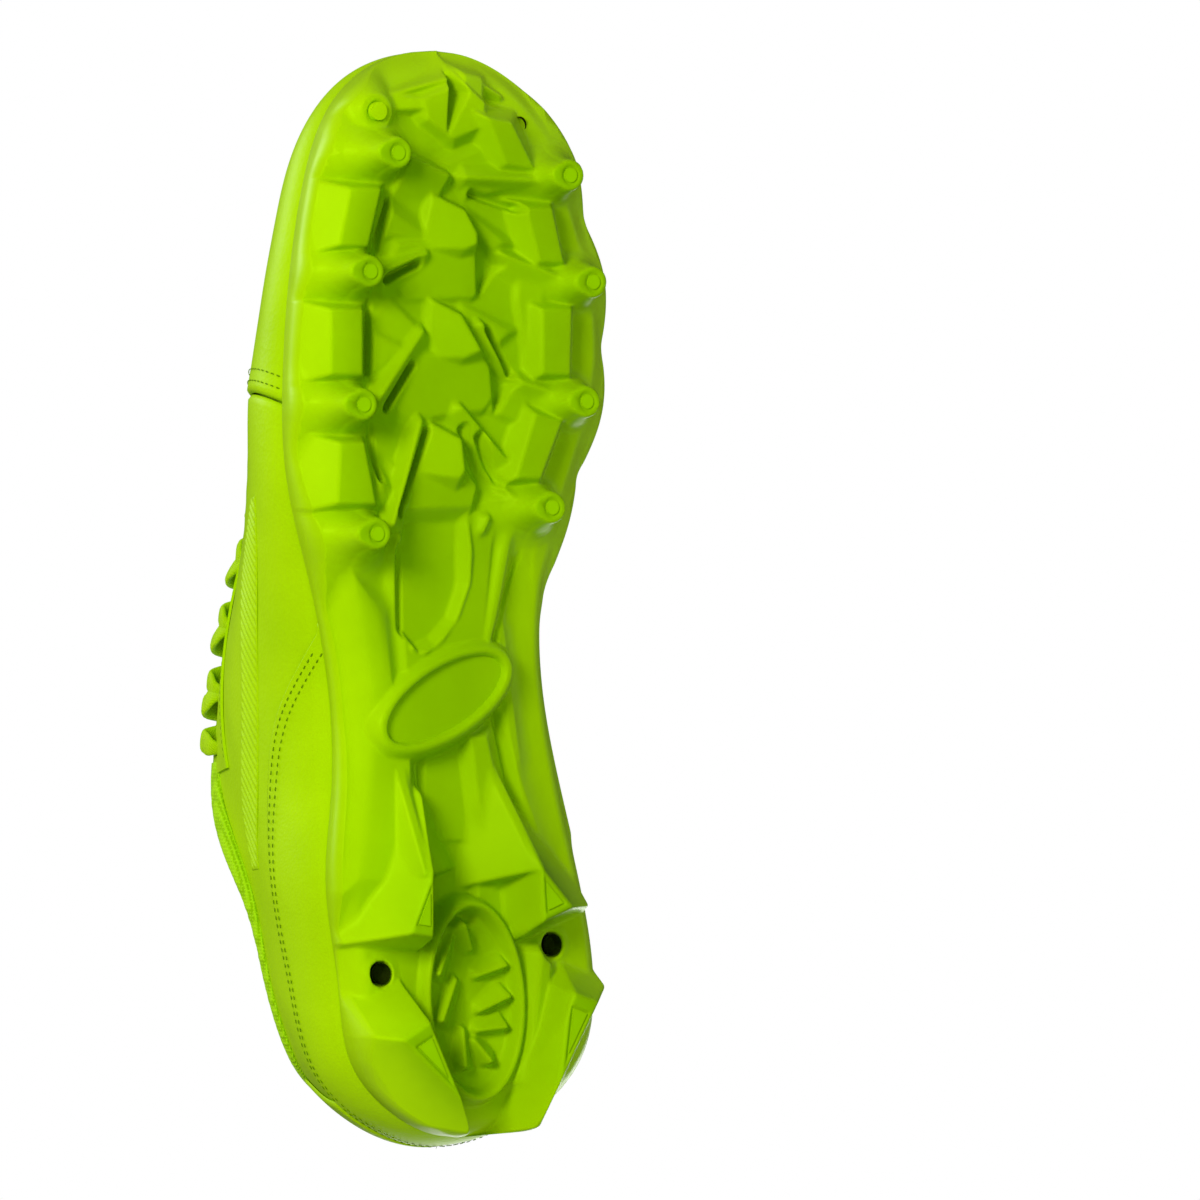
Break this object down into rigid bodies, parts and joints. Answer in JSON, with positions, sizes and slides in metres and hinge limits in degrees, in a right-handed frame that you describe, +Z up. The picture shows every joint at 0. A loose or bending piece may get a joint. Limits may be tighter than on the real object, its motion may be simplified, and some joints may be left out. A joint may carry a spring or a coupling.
{
  "type": "soccer cleat",
  "caption": "Low-cut lime soccer cleat with moulded studs and heel blades, stitched synthetic upper, padded collar, laced tongue and removable sockliner.",
  "frame": {"origin": "centre of the bounding box, on the ground under the stud tips", "axes": "+X towards the toe, +Y towards the inner (medial) side of this right shoe, +Z up"},
  "size_m": [0.2852, 0.0967, 0.1036],
  "materials": {
    "tpu": "glossy moulded TPU",
    "tip_tpu": "glossy moulded TPU, harder grade",
    "synthetic": "fine-grained synthetic leather, satin",
    "film": "ribbed bonded film",
    "lining": "knitted lining",
    "foam": "soft polyurethane foam",
    "eva": "EVA foam",
    "board": "fibre board",
    "stiffener": "thermoplastic stiffener",
    "lace": "flat woven polyester"
  },
  "bodies": {
    "shoe": {"outsole_plate": "tpu", "forefoot_stud_tips": "tip_tpu", "heel_stud_tips": "tip_tpu", "midfoot_badge": "tpu", "toe_boss_plug": "tpu", "insole_board": "board", "toe_puff": "stiffener", "heel_counter": "stiffener", "vamp": "synthetic", "lateral_quarter": "synthetic", "medial_quarter": "synthetic", "lateral_rib_band": "film", "medial_rib_band": "film", "lateral_eyestay": "synthetic", "medial_eyestay": "synthetic", "heel_overlay": "synthetic", "heel_tab": "synthetic", "collar_padding": "foam", "collar_lining": "lining", "vamp_lining": "lining", "lace": "lace"},
    "tongue": {"tongue_shell": "synthetic", "tongue_foam": "foam", "tongue_lining": "lining", "tongue_lace_keeper": "lace"},
    "sockliner": {"sockliner_foam": "eva", "sockliner_cover": "lining"}
  },
  "joints": [
    {"name": "tongue_press", "type": "hinge", "parent": "shoe", "child": "tongue", "pos_m": [0.04562, -0.00328, 0.06], "axis": [0, 1, 0], "range_deg": [-8, 0], "stiffness_Nm_per_rad": 0.6, "springref_deg": 1.72},
    {"name": "sockliner_lift", "type": "hinge", "parent": "shoe", "child": "sockliner", "pos_m": [0.13312, -0.00228, 0.0214], "axis": [0, 1, 0], "range_deg": [0, 4]}
  ]
}
